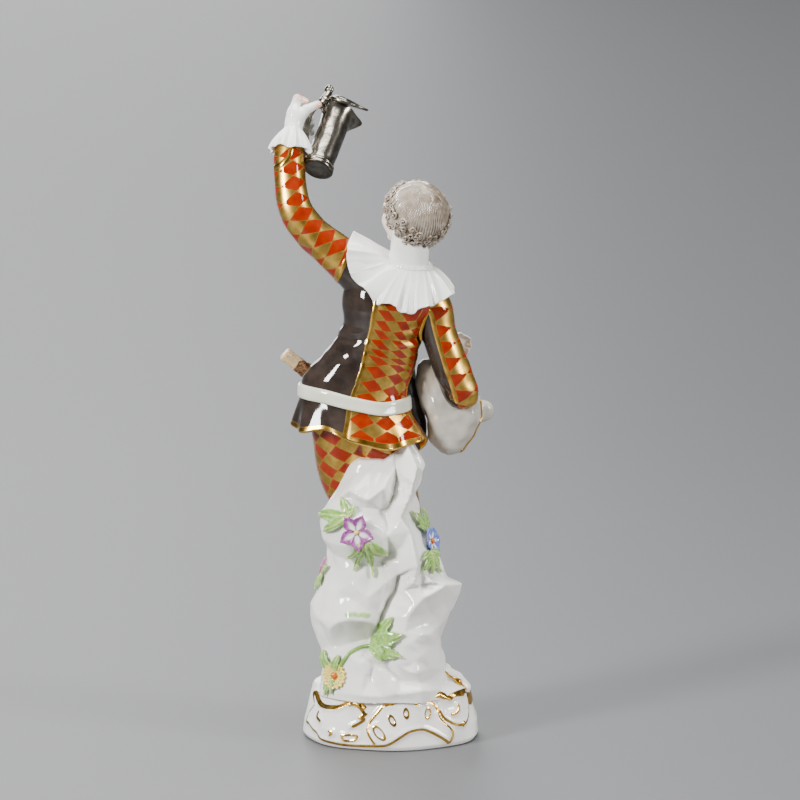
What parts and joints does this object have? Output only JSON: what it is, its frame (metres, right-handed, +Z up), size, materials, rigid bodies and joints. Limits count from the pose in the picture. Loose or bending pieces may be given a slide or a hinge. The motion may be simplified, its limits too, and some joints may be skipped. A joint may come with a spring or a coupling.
{
  "type": "porcelain figurine",
  "caption": "Glazed porcelain commedia dell'arte figure raising a lidded tankard, leaning on a flower-strewn rock on a scrolled oval base.",
  "frame": {"origin": "middle of the base's flat underside", "axes": "+Z up through the figure, -Y the way the figure's body faces, +X the figure's left"},
  "size_m": [0.0587, 0.0411, 0.1669],
  "materials": {
    "porcelain": "polished"
  },
  "bodies": {
    "root": {"figure": "porcelain"}
  },
  "joints": []
}
